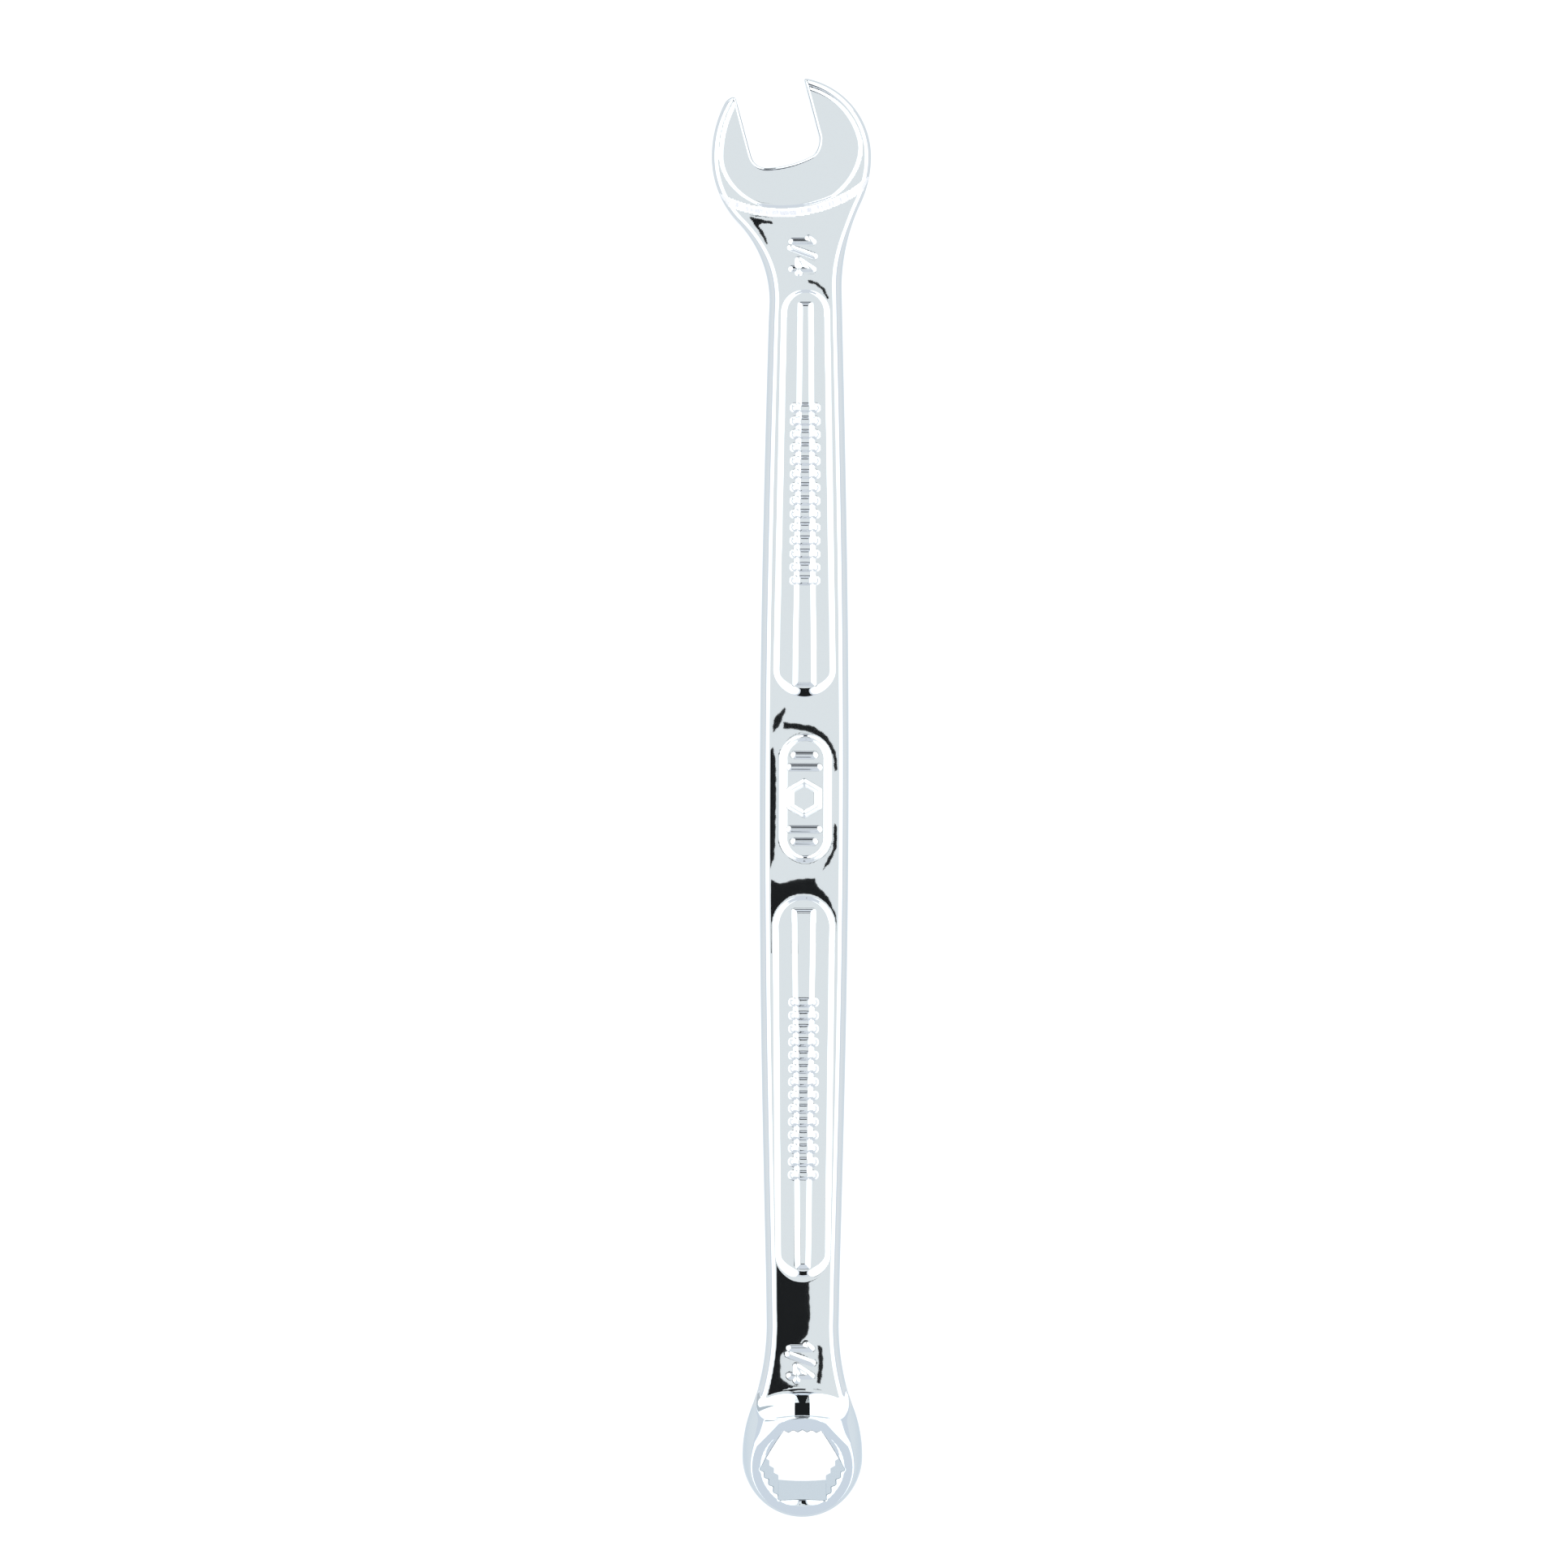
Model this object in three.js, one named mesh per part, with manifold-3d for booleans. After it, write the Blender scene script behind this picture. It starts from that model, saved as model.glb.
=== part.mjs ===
// Combination wrench for 1/4 inch nuts: one chrome-plated drop forging, with an open end at +Y
// and a box end at -Y that leans 15 degrees out of the plane of the handle.
// Millimetres, +Z up. While it is built, X = 0 is the handle's centreline, Y = 0 the middle of
// the handle and Z = 0 the forging's parting plane. The last step moves the origin to the
// middle of the finished wrench's underside.

import * as THREE from "three";
import { mergeVertices } from "three/addons/utils/BufferGeometryUtils.js";
import Module from "manifold-3d";

// Nut size
const NUT_FLATS = 6.35;
const JAW_OPENING = NUT_FLATS + 0.06;
const BORE_FLATS = NUT_FLATS + 0.05;

// Handle
const HANDLE_THICK = 3.2;
const WAIST_HALF = 3.27;
const MIDDLE_HALF = 4.03;
const BULGE_REACH = 46;
const EDGE_ROUND = 0.85;

// Open end
const HEAD_Y = 58;
const HEAD_SHIFT = -1.32;
const HEAD_RADIUS = 7.2;
const HEAD_THICK = 4;
const HEAD_EDGE_THICK = 3.6;
const FACE_INSET = 1.05;
const JAW_TURN = THREE.MathUtils.degToRad(15);
const JAW_CUT = 13;
const LEFT_JAW_REACH = 7.3;
const THROAT_X = -1.43;
const THROAT_Y = HEAD_Y - 0.77;
const JAW_CHAMFER = 0.2;
const LEFT_CHEEK_RADIUS = 10.66;
const LEFT_CHIN_RADIUS = 8.46;
const RIGHT_CHIN_RADIUS = 9.7;
const LEFT_NECK_RADIUS = 10.4;
const RIGHT_NECK_RADIUS = 18;

// Box end
const RING_Y = -59.7;
const RING_Z = -0.4;
const RING_TILT = THREE.MathUtils.degToRad(15);
const RING_RADIUS = 5.44;
const RING_THICK = 5.6;
const RING_BARREL = 0.94;
const FLARE_RADIUS = 14;
const FLARE_NECK_RADIUS = 22.5;
const RING_FACE_RADIUS = 4.56;
const RING_PEAK = 5;
const RING_APRON = 1.5;
const RING_LEDGE = 0.12;
const BORE_LEAD_RADIUS = 3.97;
const BORE_LEAD_DEPTH = 0.4;
const TEETH_PER_SIDE = 4;
const TOOTH_DEPTH = 0.3;

// Recessed panels of the handle, each with a rib down its middle
const PANEL_DEPTH = 0.3;
const PANEL_DRAFT = 0.3;
const PANEL_TO_HEAD = 11.95;
const PANEL_TO_RING = 16;
const MIDDLE_FLAT_TOP = 8.93;
const MIDDLE_FLAT_BOTTOM = -8.79;
const PANEL_WAIST_HALF = 2;
const PANEL_MIDDLE_HALF = 2.6;
const RIB_WAIST_HALF = 0.62;
const RIB_MIDDLE_HALF = 1;
const RIB_END_GAP = 1.3;
const BAR_WIDTH = 2.35;
const BAR_LENGTH = 0.6;
const BAR_PITCH = 1.2;
const BARS_PER_PANEL = 14;

// Raised marks
const MARK_HEIGHT = 0.15;
const MARK_STROKE = 0.42;
const CARTOUCHE_LENGTH = 11.8;
const CARTOUCHE_WIDTH = 5;

const wasm = await Module();
wasm.setup();

const add = (...solids) => wasm.Manifold.union(solids);
const cut = (body, ...tools) => wasm.Manifold.difference([body, ...tools]);
const common = (...solids) => wasm.Manifold.intersection(solids);

function solid(geometry) {
  const bare = geometry.clone();
  bare.deleteAttribute("normal");
  bare.deleteAttribute("uv");
  const merged = mergeVertices(bare, 1e-4);
  return new wasm.Manifold(
    new wasm.Mesh({
      numProp: 3,
      vertProperties: merged.attributes.position.array,
      triVerts: new Uint32Array(merged.index.array),
    }),
  );
}

// The points of a closed outline, with one point where two arcs meet.
function distinct(points) {
  const close = (a, b) => a.distanceTo(b) < 1e-3;
  const kept = points.filter((point, i) => i === 0 || !close(point, points[i - 1]));
  if (close(kept[0], kept[kept.length - 1])) kept.pop();
  return kept;
}

function outline(shape, curves) {
  const plain = new THREE.Shape(distinct(shape.getPoints(curves)));
  plain.holes = shape.holes.map((hole) => new THREE.Path(distinct(hole.getPoints(curves))));
  return plain;
}

// A plate between two heights, with its edges drawn in by `round` over `drop` at both faces.
function plate(shape, bottom, top, options = {}) {
  const { round = 0, drop = round, steps = 2, curves = 6 } = options;
  const geometry = new THREE.ExtrudeGeometry(outline(shape, curves), {
    depth: top - bottom - 2 * drop,
    bevelEnabled: round > 0,
    bevelSize: round,
    bevelThickness: drop,
    bevelOffset: -round,
    bevelSegments: steps,
  });
  return geometry.translate(0, 0, bottom + drop);
}

// The centre of the arc that joins a circle of the head or the ring to the handle's side.
// `side` is 1 on the right and -1 on the left, `end` is -1 below the circle and 1 above it.
function neckArc(circle, radius, side, end) {
  const x = side * (WAIST_HALF + radius);
  const reach = circle.r + radius;
  const y = circle.y + end * Math.sqrt(reach ** 2 - (x - circle.x) ** 2);
  return { x, y, r: radius, angle: Math.atan2(y - circle.y, x - circle.x) };
}

const head = {
  left: HEAD_SHIFT - HEAD_RADIUS,
  right: HEAD_SHIFT + HEAD_RADIUS,
};
const rightCheek = { x: HEAD_SHIFT, y: HEAD_Y, r: HEAD_RADIUS };
const leftCheek = { x: head.left + LEFT_CHEEK_RADIUS, y: HEAD_Y, r: LEFT_CHEEK_RADIUS };
const leftChin = { x: head.left + LEFT_CHIN_RADIUS, y: HEAD_Y, r: LEFT_CHIN_RADIUS };
const rightChin = { x: head.right - RIGHT_CHIN_RADIUS, y: HEAD_Y, r: RIGHT_CHIN_RADIUS };

const handleHalf = (y) =>
  WAIST_HALF + (MIDDLE_HALF - WAIST_HALF) * Math.cos((Math.PI * y) / (2 * BULGE_REACH));

// Points down or up one side of the handle, between its two waists.
function handleSide(shape, side, from, to) {
  const steps = 8;
  for (let i = 0; i <= steps; i++) {
    const y = THREE.MathUtils.lerp(from, to, i / steps);
    shape.lineTo(side * handleHalf(y), y);
  }
}

// The arcs that widen the handle into the box end, on both sides.
function flareArcs(centreY, ringRadius) {
  const offset = FLARE_RADIUS - ringRadius;
  const right = { x: -offset, y: centreY, r: FLARE_RADIUS };
  const left = { x: offset, y: centreY, r: FLARE_RADIUS };
  return {
    right,
    left,
    rightNeck: neckArc(right, FLARE_NECK_RADIUS, 1, 1),
    leftNeck: neckArc(left, FLARE_NECK_RADIUS, -1, 1),
  };
}

// The handle's outline, closed with a round end inside the open end and round the box end.
function handleOutline() {
  const leftNeck = neckArc(leftChin, LEFT_NECK_RADIUS, -1, -1);
  const rightNeck = neckArc(rightChin, RIGHT_NECK_RADIUS, 1, -1);
  const ringRadius = RING_RADIUS - RING_LEDGE;
  const flare = flareArcs(RING_Y, ringRadius);
  const shape = new THREE.Shape();
  shape.absarc(HEAD_SHIFT, HEAD_Y, HEAD_RADIUS, 0, Math.PI);
  const leftMeet = leftNeck.angle + 2 * Math.PI;
  shape.absarc(leftChin.x, leftChin.y, leftChin.r, Math.PI, leftMeet);
  shape.absarc(leftNeck.x, leftNeck.y, leftNeck.r, leftNeck.angle + Math.PI, 0, true);
  handleSide(shape, -1, BULGE_REACH - 3, 3 - BULGE_REACH);
  const lower = flare.leftNeck;
  shape.absarc(lower.x, lower.y, lower.r, 0, lower.angle - Math.PI, true);
  shape.absarc(flare.left.x, flare.left.y, flare.left.r, lower.angle, Math.PI);
  shape.absarc(0, RING_Y, ringRadius, Math.PI, 2 * Math.PI);
  const upper = flare.rightNeck;
  shape.absarc(flare.right.x, flare.right.y, flare.right.r, 0, upper.angle);
  shape.absarc(upper.x, upper.y, upper.r, upper.angle + Math.PI, Math.PI, true);
  handleSide(shape, 1, 3 - BULGE_REACH, BULGE_REACH - 3);
  shape.absarc(rightNeck.x, rightNeck.y, rightNeck.r, Math.PI, rightNeck.angle + Math.PI, true);
  shape.absarc(rightChin.x, rightChin.y, rightChin.r, rightNeck.angle, 0);
  return shape;
}

// A box over x from..to, y from..to and all the wrench's thickness.
function block(xFrom, xTo, yFrom, yTo) {
  const box = new THREE.BoxGeometry(xTo - xFrom, yTo - yFrom, 20);
  return solid(box.translate((xFrom + xTo) / 2, (yFrom + yTo) / 2, 0));
}

// The open end alone: four quarters of round plates of different radii, which meet where
// they are all tangent, on the left and on the right.
function headPlate(inset, thick, round, drop, steps) {
  const quarter = (circle, ...box) => {
    const shape = new THREE.Shape();
    shape.absarc(circle.x, circle.y, circle.r - inset, 0, 2 * Math.PI);
    const disc = plate(shape, -thick / 2, thick / 2, { round, drop, steps, curves: 16 });
    return common(solid(disc), block(...box));
  };
  const [x, y] = [HEAD_SHIFT, HEAD_Y];
  return add(
    quarter(rightCheek, x, x + 20, y, y + 20),
    quarter(leftCheek, x - 20, x, y, y + 20),
    quarter(leftChin, x - 20, x, y - 20, y),
    quarter(rightChin, x, x + 20, y - 20, y),
  );
}

// A disc whose lower edge is the step between the open end's face and the neck.
function brow(radius, lowest, height) {
  const disc = new THREE.CylinderGeometry(radius, radius, height, 48);
  return solid(disc.rotateX(Math.PI / 2).translate(-2.2, lowest + radius, 0));
}

function headSolid() {
  return add(
    common(headPlate(0, HEAD_EDGE_THICK, 0.72, 0.9, 2), brow(12.6, HEAD_Y - 5.15, HEAD_THICK)),
    common(headPlate(FACE_INSET - 0.2, HEAD_THICK, 0.2, 0.2, 1), brow(12, HEAD_Y - 4.65, 20)),
  );
}

// The jaw opening: two parallel flats, a rounded corner on the left of the throat and a
// flatter one on the right.
function jawOutline() {
  const half = JAW_OPENING / 2;
  const shape = new THREE.Shape();
  shape.moveTo(-half, JAW_CUT);
  shape.lineTo(-half, 1.75);
  shape.quadraticCurveTo(-half, 0.6, -half + 1.05, 0.28);
  shape.quadraticCurveTo(0, -0.22, half - 1, 0.3);
  shape.quadraticCurveTo(half - 0.25, 0.7, half, 1.75);
  shape.lineTo(half, JAW_CUT);
  return shape;
}

// The space past the left jaw's blunt tip. The right jaw ends where its flat meets the rim.
function tipSpace() {
  const half = JAW_OPENING / 2;
  const depth = JAW_CUT - LEFT_JAW_REACH;
  return new THREE.BoxGeometry(4, depth, 20).translate(-half - 1.5, LEFT_JAW_REACH + depth / 2, 0);
}

function jawCutter() {
  const face = HEAD_THICK / 2;
  const place = (geometry) =>
    solid(geometry.rotateZ(JAW_TURN).translate(THROAT_X, THROAT_Y, 0));
  const through = plate(jawOutline(), -face - 1, face + 1, { curves: 6 });
  const lead = () =>
    new THREE.ExtrudeGeometry(outline(jawOutline(), 6), {
      depth: 1,
      bevelSize: JAW_CHAMFER,
      bevelThickness: JAW_CHAMFER,
      bevelSegments: 1,
    });
  return add(
    place(through),
    place(tipSpace()),
    place(lead().translate(0, 0, face)),
    place(lead().translate(0, 0, -face - 1)),
  );
}

const atRing = (geometry) => geometry.rotateX(RING_TILT).translate(0, RING_Y, RING_Z);

// The box end's outline in its own plane, with shoulders that run up into the handle.
function ringOutline() {
  const { left, right, leftNeck, rightNeck } = flareArcs(0, RING_RADIUS);
  const shape = new THREE.Shape();
  shape.moveTo(leftNeck.x + leftNeck.r, leftNeck.y);
  shape.absarc(leftNeck.x, leftNeck.y, leftNeck.r, 0, leftNeck.angle - Math.PI, true);
  shape.absarc(left.x, left.y, left.r, leftNeck.angle, Math.PI);
  shape.absarc(0, 0, RING_RADIUS, Math.PI, 2 * Math.PI);
  shape.absarc(right.x, right.y, right.r, 0, rightNeck.angle);
  shape.absarc(rightNeck.x, rightNeck.y, rightNeck.r, rightNeck.angle + Math.PI, Math.PI, true);
  return shape;
}

// The box end's flat face: round towards the tip, a blunt V towards the handle.
function ringFaceOutline() {
  const kink = 0.46;
  const nose = 1.04;
  const shape = new THREE.Shape();
  shape.absarc(0, 0, RING_FACE_RADIUS, Math.PI - kink, 2 * Math.PI + kink);
  shape.lineTo(nose, RING_PEAK - 0.3);
  shape.quadraticCurveTo(0, RING_PEAK + 0.3, -nose, RING_PEAK - 0.3);
  return shape;
}

function ringSolid() {
  const half = RING_THICK / 2;
  const barrel = plate(ringOutline(), -half, half, {
    round: RING_BARREL,
    drop: half - 0.01,
    steps: 3,
    curves: 7,
  });
  const apron = new THREE.ExtrudeGeometry(outline(ringFaceOutline(), 8), {
    depth: 0.02,
    bevelSize: RING_APRON,
    bevelThickness: half - 0.01,
    bevelSegments: 1,
  }).translate(0, 0, -0.01);
  return common(solid(atRing(barrel)), solid(atRing(apron)));
}

// The bore: a hexagon whose flats are plain and toothed by turns. The plain flats run on to
// the bottom of the first tooth space beside them.
function boreOutline() {
  const apothem = BORE_FLATS / 2;
  const corner = apothem * Math.tan(Math.PI / 6);
  const relief = TOOTH_DEPTH / Math.cos(Math.PI / 6);
  const points = [];
  const place = (side, out, along) => {
    const facing = -Math.PI / 2 + (side * Math.PI) / 3;
    points.push(new THREE.Vector2(out, along).rotateAround(new THREE.Vector2(), facing));
  };
  for (let side = 0; side < 6; side += 2) {
    place(side, apothem, -corner - relief);
    place(side, apothem, corner + relief);
    const steps = TEETH_PER_SIDE * 2;
    for (let i = 1; i < steps; i++) {
      const along = (corner - relief / 2) * ((2 * i) / steps - 1);
      const space = 0.5 + 0.5 * Math.cos(i * Math.PI);
      place(side + 1, apothem + TOOTH_DEPTH * space, along);
    }
  }
  return new THREE.Shape(points);
}

function boreCutter() {
  const half = RING_THICK / 2;
  const bore = plate(boreOutline(), -half - 1, half + 1);
  const slope = (BORE_LEAD_RADIUS - BORE_FLATS / 2) / BORE_LEAD_DEPTH;
  const lead = (turn) =>
    new THREE.CylinderGeometry(
      BORE_LEAD_RADIUS + slope,
      BORE_FLATS / 2,
      BORE_LEAD_DEPTH + 1,
      24,
    )
      .translate(0, half + (1 - BORE_LEAD_DEPTH) / 2, 0)
      .rotateX(turn);
  return add(
    solid(atRing(bore)),
    solid(atRing(lead(Math.PI / 2))),
    solid(atRing(lead(-Math.PI / 2))),
  );
}

// A tapered outline with round ends, widest next to the middle of the handle.
function panelOutline(top, bottom, topHalf, bottomHalf) {
  const shape = new THREE.Shape();
  shape.absarc(0, top - topHalf, topHalf, 0, Math.PI);
  shape.absarc(0, bottom + bottomHalf, bottomHalf, Math.PI, 2 * Math.PI);
  return shape;
}

const upperPanel = {
  top: HEAD_Y - PANEL_TO_HEAD,
  bottom: MIDDLE_FLAT_TOP,
  topHalf: PANEL_WAIST_HALF,
  bottomHalf: PANEL_MIDDLE_HALF,
  ribTop: RIB_WAIST_HALF,
  ribBottom: RIB_MIDDLE_HALF,
};
const lowerPanel = {
  top: MIDDLE_FLAT_BOTTOM,
  bottom: RING_Y + PANEL_TO_RING,
  topHalf: PANEL_MIDDLE_HALF,
  bottomHalf: PANEL_WAIST_HALF + 0.3,
  ribTop: RIB_MIDDLE_HALF,
  ribBottom: RIB_WAIST_HALF,
};

function panelCutter(panel) {
  const shape = panelOutline(panel.top, panel.bottom, panel.topHalf, panel.bottomHalf);
  return new THREE.ExtrudeGeometry(outline(shape, 6), {
    depth: 0.5,
    bevelSize: PANEL_DRAFT,
    bevelThickness: PANEL_DEPTH,
    bevelOffset: -PANEL_DRAFT,
    bevelSegments: 1,
  }).translate(0, 0, HANDLE_THICK / 2);
}

const panelFloor = HANDLE_THICK / 2 - PANEL_DEPTH;

// The rib stops short of the panel's ends.
function rib(panel) {
  const shape = new THREE.Shape([
    new THREE.Vector2(-panel.ribBottom, panel.bottom + RIB_END_GAP),
    new THREE.Vector2(panel.ribBottom, panel.bottom + RIB_END_GAP),
    new THREE.Vector2(panel.ribTop, panel.top - RIB_END_GAP),
    new THREE.Vector2(-panel.ribTop, panel.top - RIB_END_GAP),
  ]);
  const crown = HANDLE_THICK / 2 - 0.05;
  return plate(shape, panelFloor - 0.7, crown, { round: 0.36, drop: 0.5, steps: 1 });
}

// A bar with blunt ends across the rib, standing on the panel's floor.
function bar(y) {
  const end = BAR_WIDTH / 2;
  const half = BAR_LENGTH / 2;
  const blunt = 0.15;
  const shape = new THREE.Shape([
    new THREE.Vector2(-end, y - half + blunt),
    new THREE.Vector2(blunt - end, y - half),
    new THREE.Vector2(end - blunt, y - half),
    new THREE.Vector2(end, y - half + blunt),
    new THREE.Vector2(end, y + half - blunt),
    new THREE.Vector2(end - blunt, y + half),
    new THREE.Vector2(blunt - end, y + half),
    new THREE.Vector2(-end, y + half - blunt),
  ]);
  return plate(shape, panelFloor - 0.2, HANDLE_THICK / 2 + 0.06);
}

function bars(panel) {
  const middle = (panel.top + panel.bottom) / 2;
  return Array.from({ length: BARS_PER_PANEL }, (_, i) =>
    bar(middle + (i - (BARS_PER_PANEL - 1) / 2) * BAR_PITCH),
  );
}

// A raised outline on the handle's flat.
function mark(shape, curves = 8) {
  const flat = HANDLE_THICK / 2;
  return plate(shape, flat - 0.2, flat + MARK_HEIGHT, { curves });
}

function stroke([x0, y0], [x1, y1]) {
  const length = Math.hypot(x1 - x0, y1 - y0) + MARK_STROKE;
  const height = 0.2 + MARK_HEIGHT;
  return new THREE.BoxGeometry(length, MARK_STROKE, height)
    .rotateZ(Math.atan2(y1 - y0, x1 - x0))
    .translate((x0 + x1) / 2, (y0 + y1) / 2, HANDLE_THICK / 2 + MARK_HEIGHT - height / 2);
}

// The size in inches, read along the handle towards the box end.
function sizeMark(x, y) {
  const lines = [
    [[0.35, 0.15], [0.35, 2.35]],
    [[0.35, 2.35], [0, 1.9]],
    [[1, 0], [1.9, 2.5]],
    [[3.3, 0.15], [3.3, 2.35]],
    [[3.3, 2.35], [2.3, 0.85]],
    [[2.3, 0.85], [3.75, 0.85]],
  ];
  return lines.map(([from, to]) =>
    stroke(from, to).translate(-1.9, -1.25, 0).rotateZ(-Math.PI / 2).translate(x, y, 0),
  );
}

function stadium(length, width) {
  const shape = new THREE.Shape();
  const end = width / 2;
  shape.absarc(0, length / 2 - end, end, 0, Math.PI);
  shape.absarc(0, end - length / 2, end, Math.PI, 2 * Math.PI);
  return shape;
}

function hexagon(flats) {
  const corner = (i) => (Math.PI * (2 * i + 1)) / 6;
  const points = Array.from({ length: 6 }, (_, i) =>
    new THREE.Vector2(Math.cos(corner(i)), Math.sin(corner(i))).multiplyScalar(
      flats / Math.sqrt(3),
    ),
  );
  return new THREE.Shape(points);
}

// A plain emblem: a round-ended rim round a hexagon, with two bars above and two below it.
function emblem() {
  const rim = stadium(CARTOUCHE_LENGTH, CARTOUCHE_WIDTH);
  rim.holes.push(stadium(CARTOUCHE_LENGTH - 0.9, CARTOUCHE_WIDTH - 0.9));
  const nut = hexagon(3.3);
  nut.holes.push(hexagon(2.3));
  const lines = [3.9, 2.8, -2.8, -3.9].map((y) => {
    const half = y ** 2 > 10 ? 0.85 : 1.25;
    return stroke([-half, y], [half, y]);
  });
  return [mark(rim, 4), mark(nut), ...lines];
}

const bothSides = (make) => [
  ...make().map(solid),
  ...make().map((geometry) => solid(geometry.rotateY(Math.PI))),
];

const handle = cut(
  solid(plate(handleOutline(), -HANDLE_THICK / 2, HANDLE_THICK / 2, { round: EDGE_ROUND })),
  block(-10, 10, RING_Y - 20, RING_Y),
  ...bothSides(() => [panelCutter(upperPanel), panelCutter(lowerPanel)]),
);
const details = bothSides(() => [
  rib(upperPanel),
  rib(lowerPanel),
  ...bars(upperPanel),
  ...bars(lowerPanel),
  ...emblem(),
  ...sizeMark(-0.3, HEAD_Y - 8.6),
  ...sizeMark(-0.2, RING_Y + 8.7),
]);
const forging = add(handle, headSolid(), ringSolid(), ...details);
const wrench = cut(forging, jawCutter(), boreCutter());

function bufferOf(manifold) {
  const mesh = manifold.getMesh();
  const geometry = new THREE.BufferGeometry();
  geometry.setAttribute("position", new THREE.BufferAttribute(mesh.vertProperties, 3));
  geometry.setIndex(new THREE.BufferAttribute(mesh.triVerts, 1));
  return geometry;
}

const geometry = bufferOf(wrench);
geometry.computeBoundingBox();
const { min, max } = geometry.boundingBox;
geometry.translate(-(min.x + max.x) / 2, -(min.y + max.y) / 2, -min.z);
geometry.computeVertexNormals();

const chrome = new THREE.MeshStandardMaterial({ color: 0xd5dade, roughness: 0.12, metalness: 1 });
const body = new THREE.Mesh(geometry, chrome);
body.name = "wrench_body";

const group = new THREE.Group();
group.add(body);

export default group;
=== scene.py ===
"""Looks of the chrome combination wrench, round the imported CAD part. Blender 4.5.

The wrench is modelled as a solid field in millimetres, in the same design frame as the part:
X = 0 is the handle's centreline, Y = 0 the middle of the handle, Z = 0 the parting plane, with
the open end at +Y. The field is sampled on a grid, its surface becomes one mesh, and the mesh
is moved to where the CAD wrench lies.
"""

import math

import bpy
import numpy as np
import openvdb
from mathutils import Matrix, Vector


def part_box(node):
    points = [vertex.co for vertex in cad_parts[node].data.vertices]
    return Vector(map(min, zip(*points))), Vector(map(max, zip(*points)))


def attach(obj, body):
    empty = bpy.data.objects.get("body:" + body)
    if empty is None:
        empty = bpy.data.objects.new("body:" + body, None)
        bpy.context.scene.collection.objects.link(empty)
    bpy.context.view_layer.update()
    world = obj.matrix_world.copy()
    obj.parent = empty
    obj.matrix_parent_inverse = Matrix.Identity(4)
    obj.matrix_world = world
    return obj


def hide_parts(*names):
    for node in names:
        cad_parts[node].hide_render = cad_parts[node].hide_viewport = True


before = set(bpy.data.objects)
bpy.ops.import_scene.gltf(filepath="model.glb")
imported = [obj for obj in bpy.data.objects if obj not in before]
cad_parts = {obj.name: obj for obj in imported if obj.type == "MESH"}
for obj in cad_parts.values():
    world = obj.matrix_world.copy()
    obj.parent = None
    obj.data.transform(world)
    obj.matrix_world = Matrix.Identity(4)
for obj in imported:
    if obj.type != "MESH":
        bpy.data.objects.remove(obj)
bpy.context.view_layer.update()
MM = 0.001

# ---- Sizes, in millimetres ---------------------------------------------------------------

JAW_OPENING = 6.41
BORE_FLATS = 6.4

HANDLE_HALF_THICK = 1.6
HANDLE_EDGE = 1.6
WAIST_HALF = 3.27
MIDDLE_HALF = 4.03
BULGE_REACH = 46
SIDE_INSET = 0.85

HEAD_X, HEAD_Y = -1.32, 58
HEAD_RADIUS = 7.2
HEAD_EDGE_HALF = 1.9
HEAD_EDGE = 0.6
HEAD_EDGE_ROUND = 0.54
HEAD_BLEND_Y, HEAD_BLEND = 47, 6
FACE_HEIGHT = 0.1
FACE_INSET = 0.74
FACE_CORNER = 3
FACE_EDGE = 0.22
LEFT_JAW_REACH = 7.3
LEFT_TIP_ROUND = 0.35
JAW_TURN = math.radians(15)
JAW_ROUND = 0.2
THROAT_X, THROAT_Y = -1.43, HEAD_Y - 0.77
LEFT_CHEEK, LEFT_CHIN, RIGHT_CHIN = 10.66, 8.46, 9.7
LEFT_NECK, RIGHT_NECK = 10.4, 18
BROW_X = -2.2
BROW_RADIUS, BROW_Y = 12.6, HEAD_Y - 5.4
BROW_STEP = 0.6
FACE_BROW_RADIUS, FACE_BROW_Y = 12, HEAD_Y - 4.95

RING_Y, RING_Z = -59.7, -0.4
RING_TILT = math.radians(15)
RING_RADIUS = 5.44
RING_UNDERCUT = 0.12
RING_HALF = 2.8
RING_BULGE = 1.5
RING_EDGE_ROUND = 0.35
FLARE, FLARE_NECK = 14, 22.5
RING_FACE = 4.56
RING_PEAK = 5.0
PEAK_BEND = 0.62
RING_JOIN = 0.12
RING_REACH_Y = -44
LEAD_RADIUS = 3.97
LEAD_DEPTH = 0.4
SCOOP_Y = -53.6
SCOOP_BOW = 6.9
SCOOP_SLOPE, SCOOP_CURVE = 0.45, 0.16
TEETH_PER_SIDE = 4
TOOTH_DEPTH = 0.3
BORE_ROUND = 0.07

PANEL_DEPTH = 0.2
PANEL_LIP = 0.42
PANEL_RAMP = 0.9
PANEL_TOP_LIFT = 0.4
UPPER_PANEL = dict(
    top=46.05, bottom=8.93, top_half=2.15, bottom_half=2.75, rib_top=0.62, rib_bottom=1.0,
)
LOWER_PANEL = dict(
    top=-8.79, bottom=-43.7, top_half=2.75, bottom_half=2.45, rib_top=1.0, rib_bottom=0.62,
)
RIB_END_GAP = 1.2
RIB_DROP = 0.03
RIB_EDGE = 0.36
BAR_WIDTH, BAR_LENGTH, BAR_PITCH, BARS = 2.4, 0.62, 1.2, 14
BAR_RISE, BAR_CROWN = 0.07, 7
MARK_HEIGHT = 0.13
MARK_EDGE = 0.26
SIZE_MARKS = [(-0.3, HEAD_Y - 9.0), (-0.2, RING_Y + 8.7)]
SIZE_MARK_SCALE, SIZE_MARK_HALF = 0.84, 0.2
EMBLEM_HALF_WIDTH, EMBLEM_END_Y, EMBLEM_LINE_HALF = 2.0, 3.5, 0.22
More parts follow.
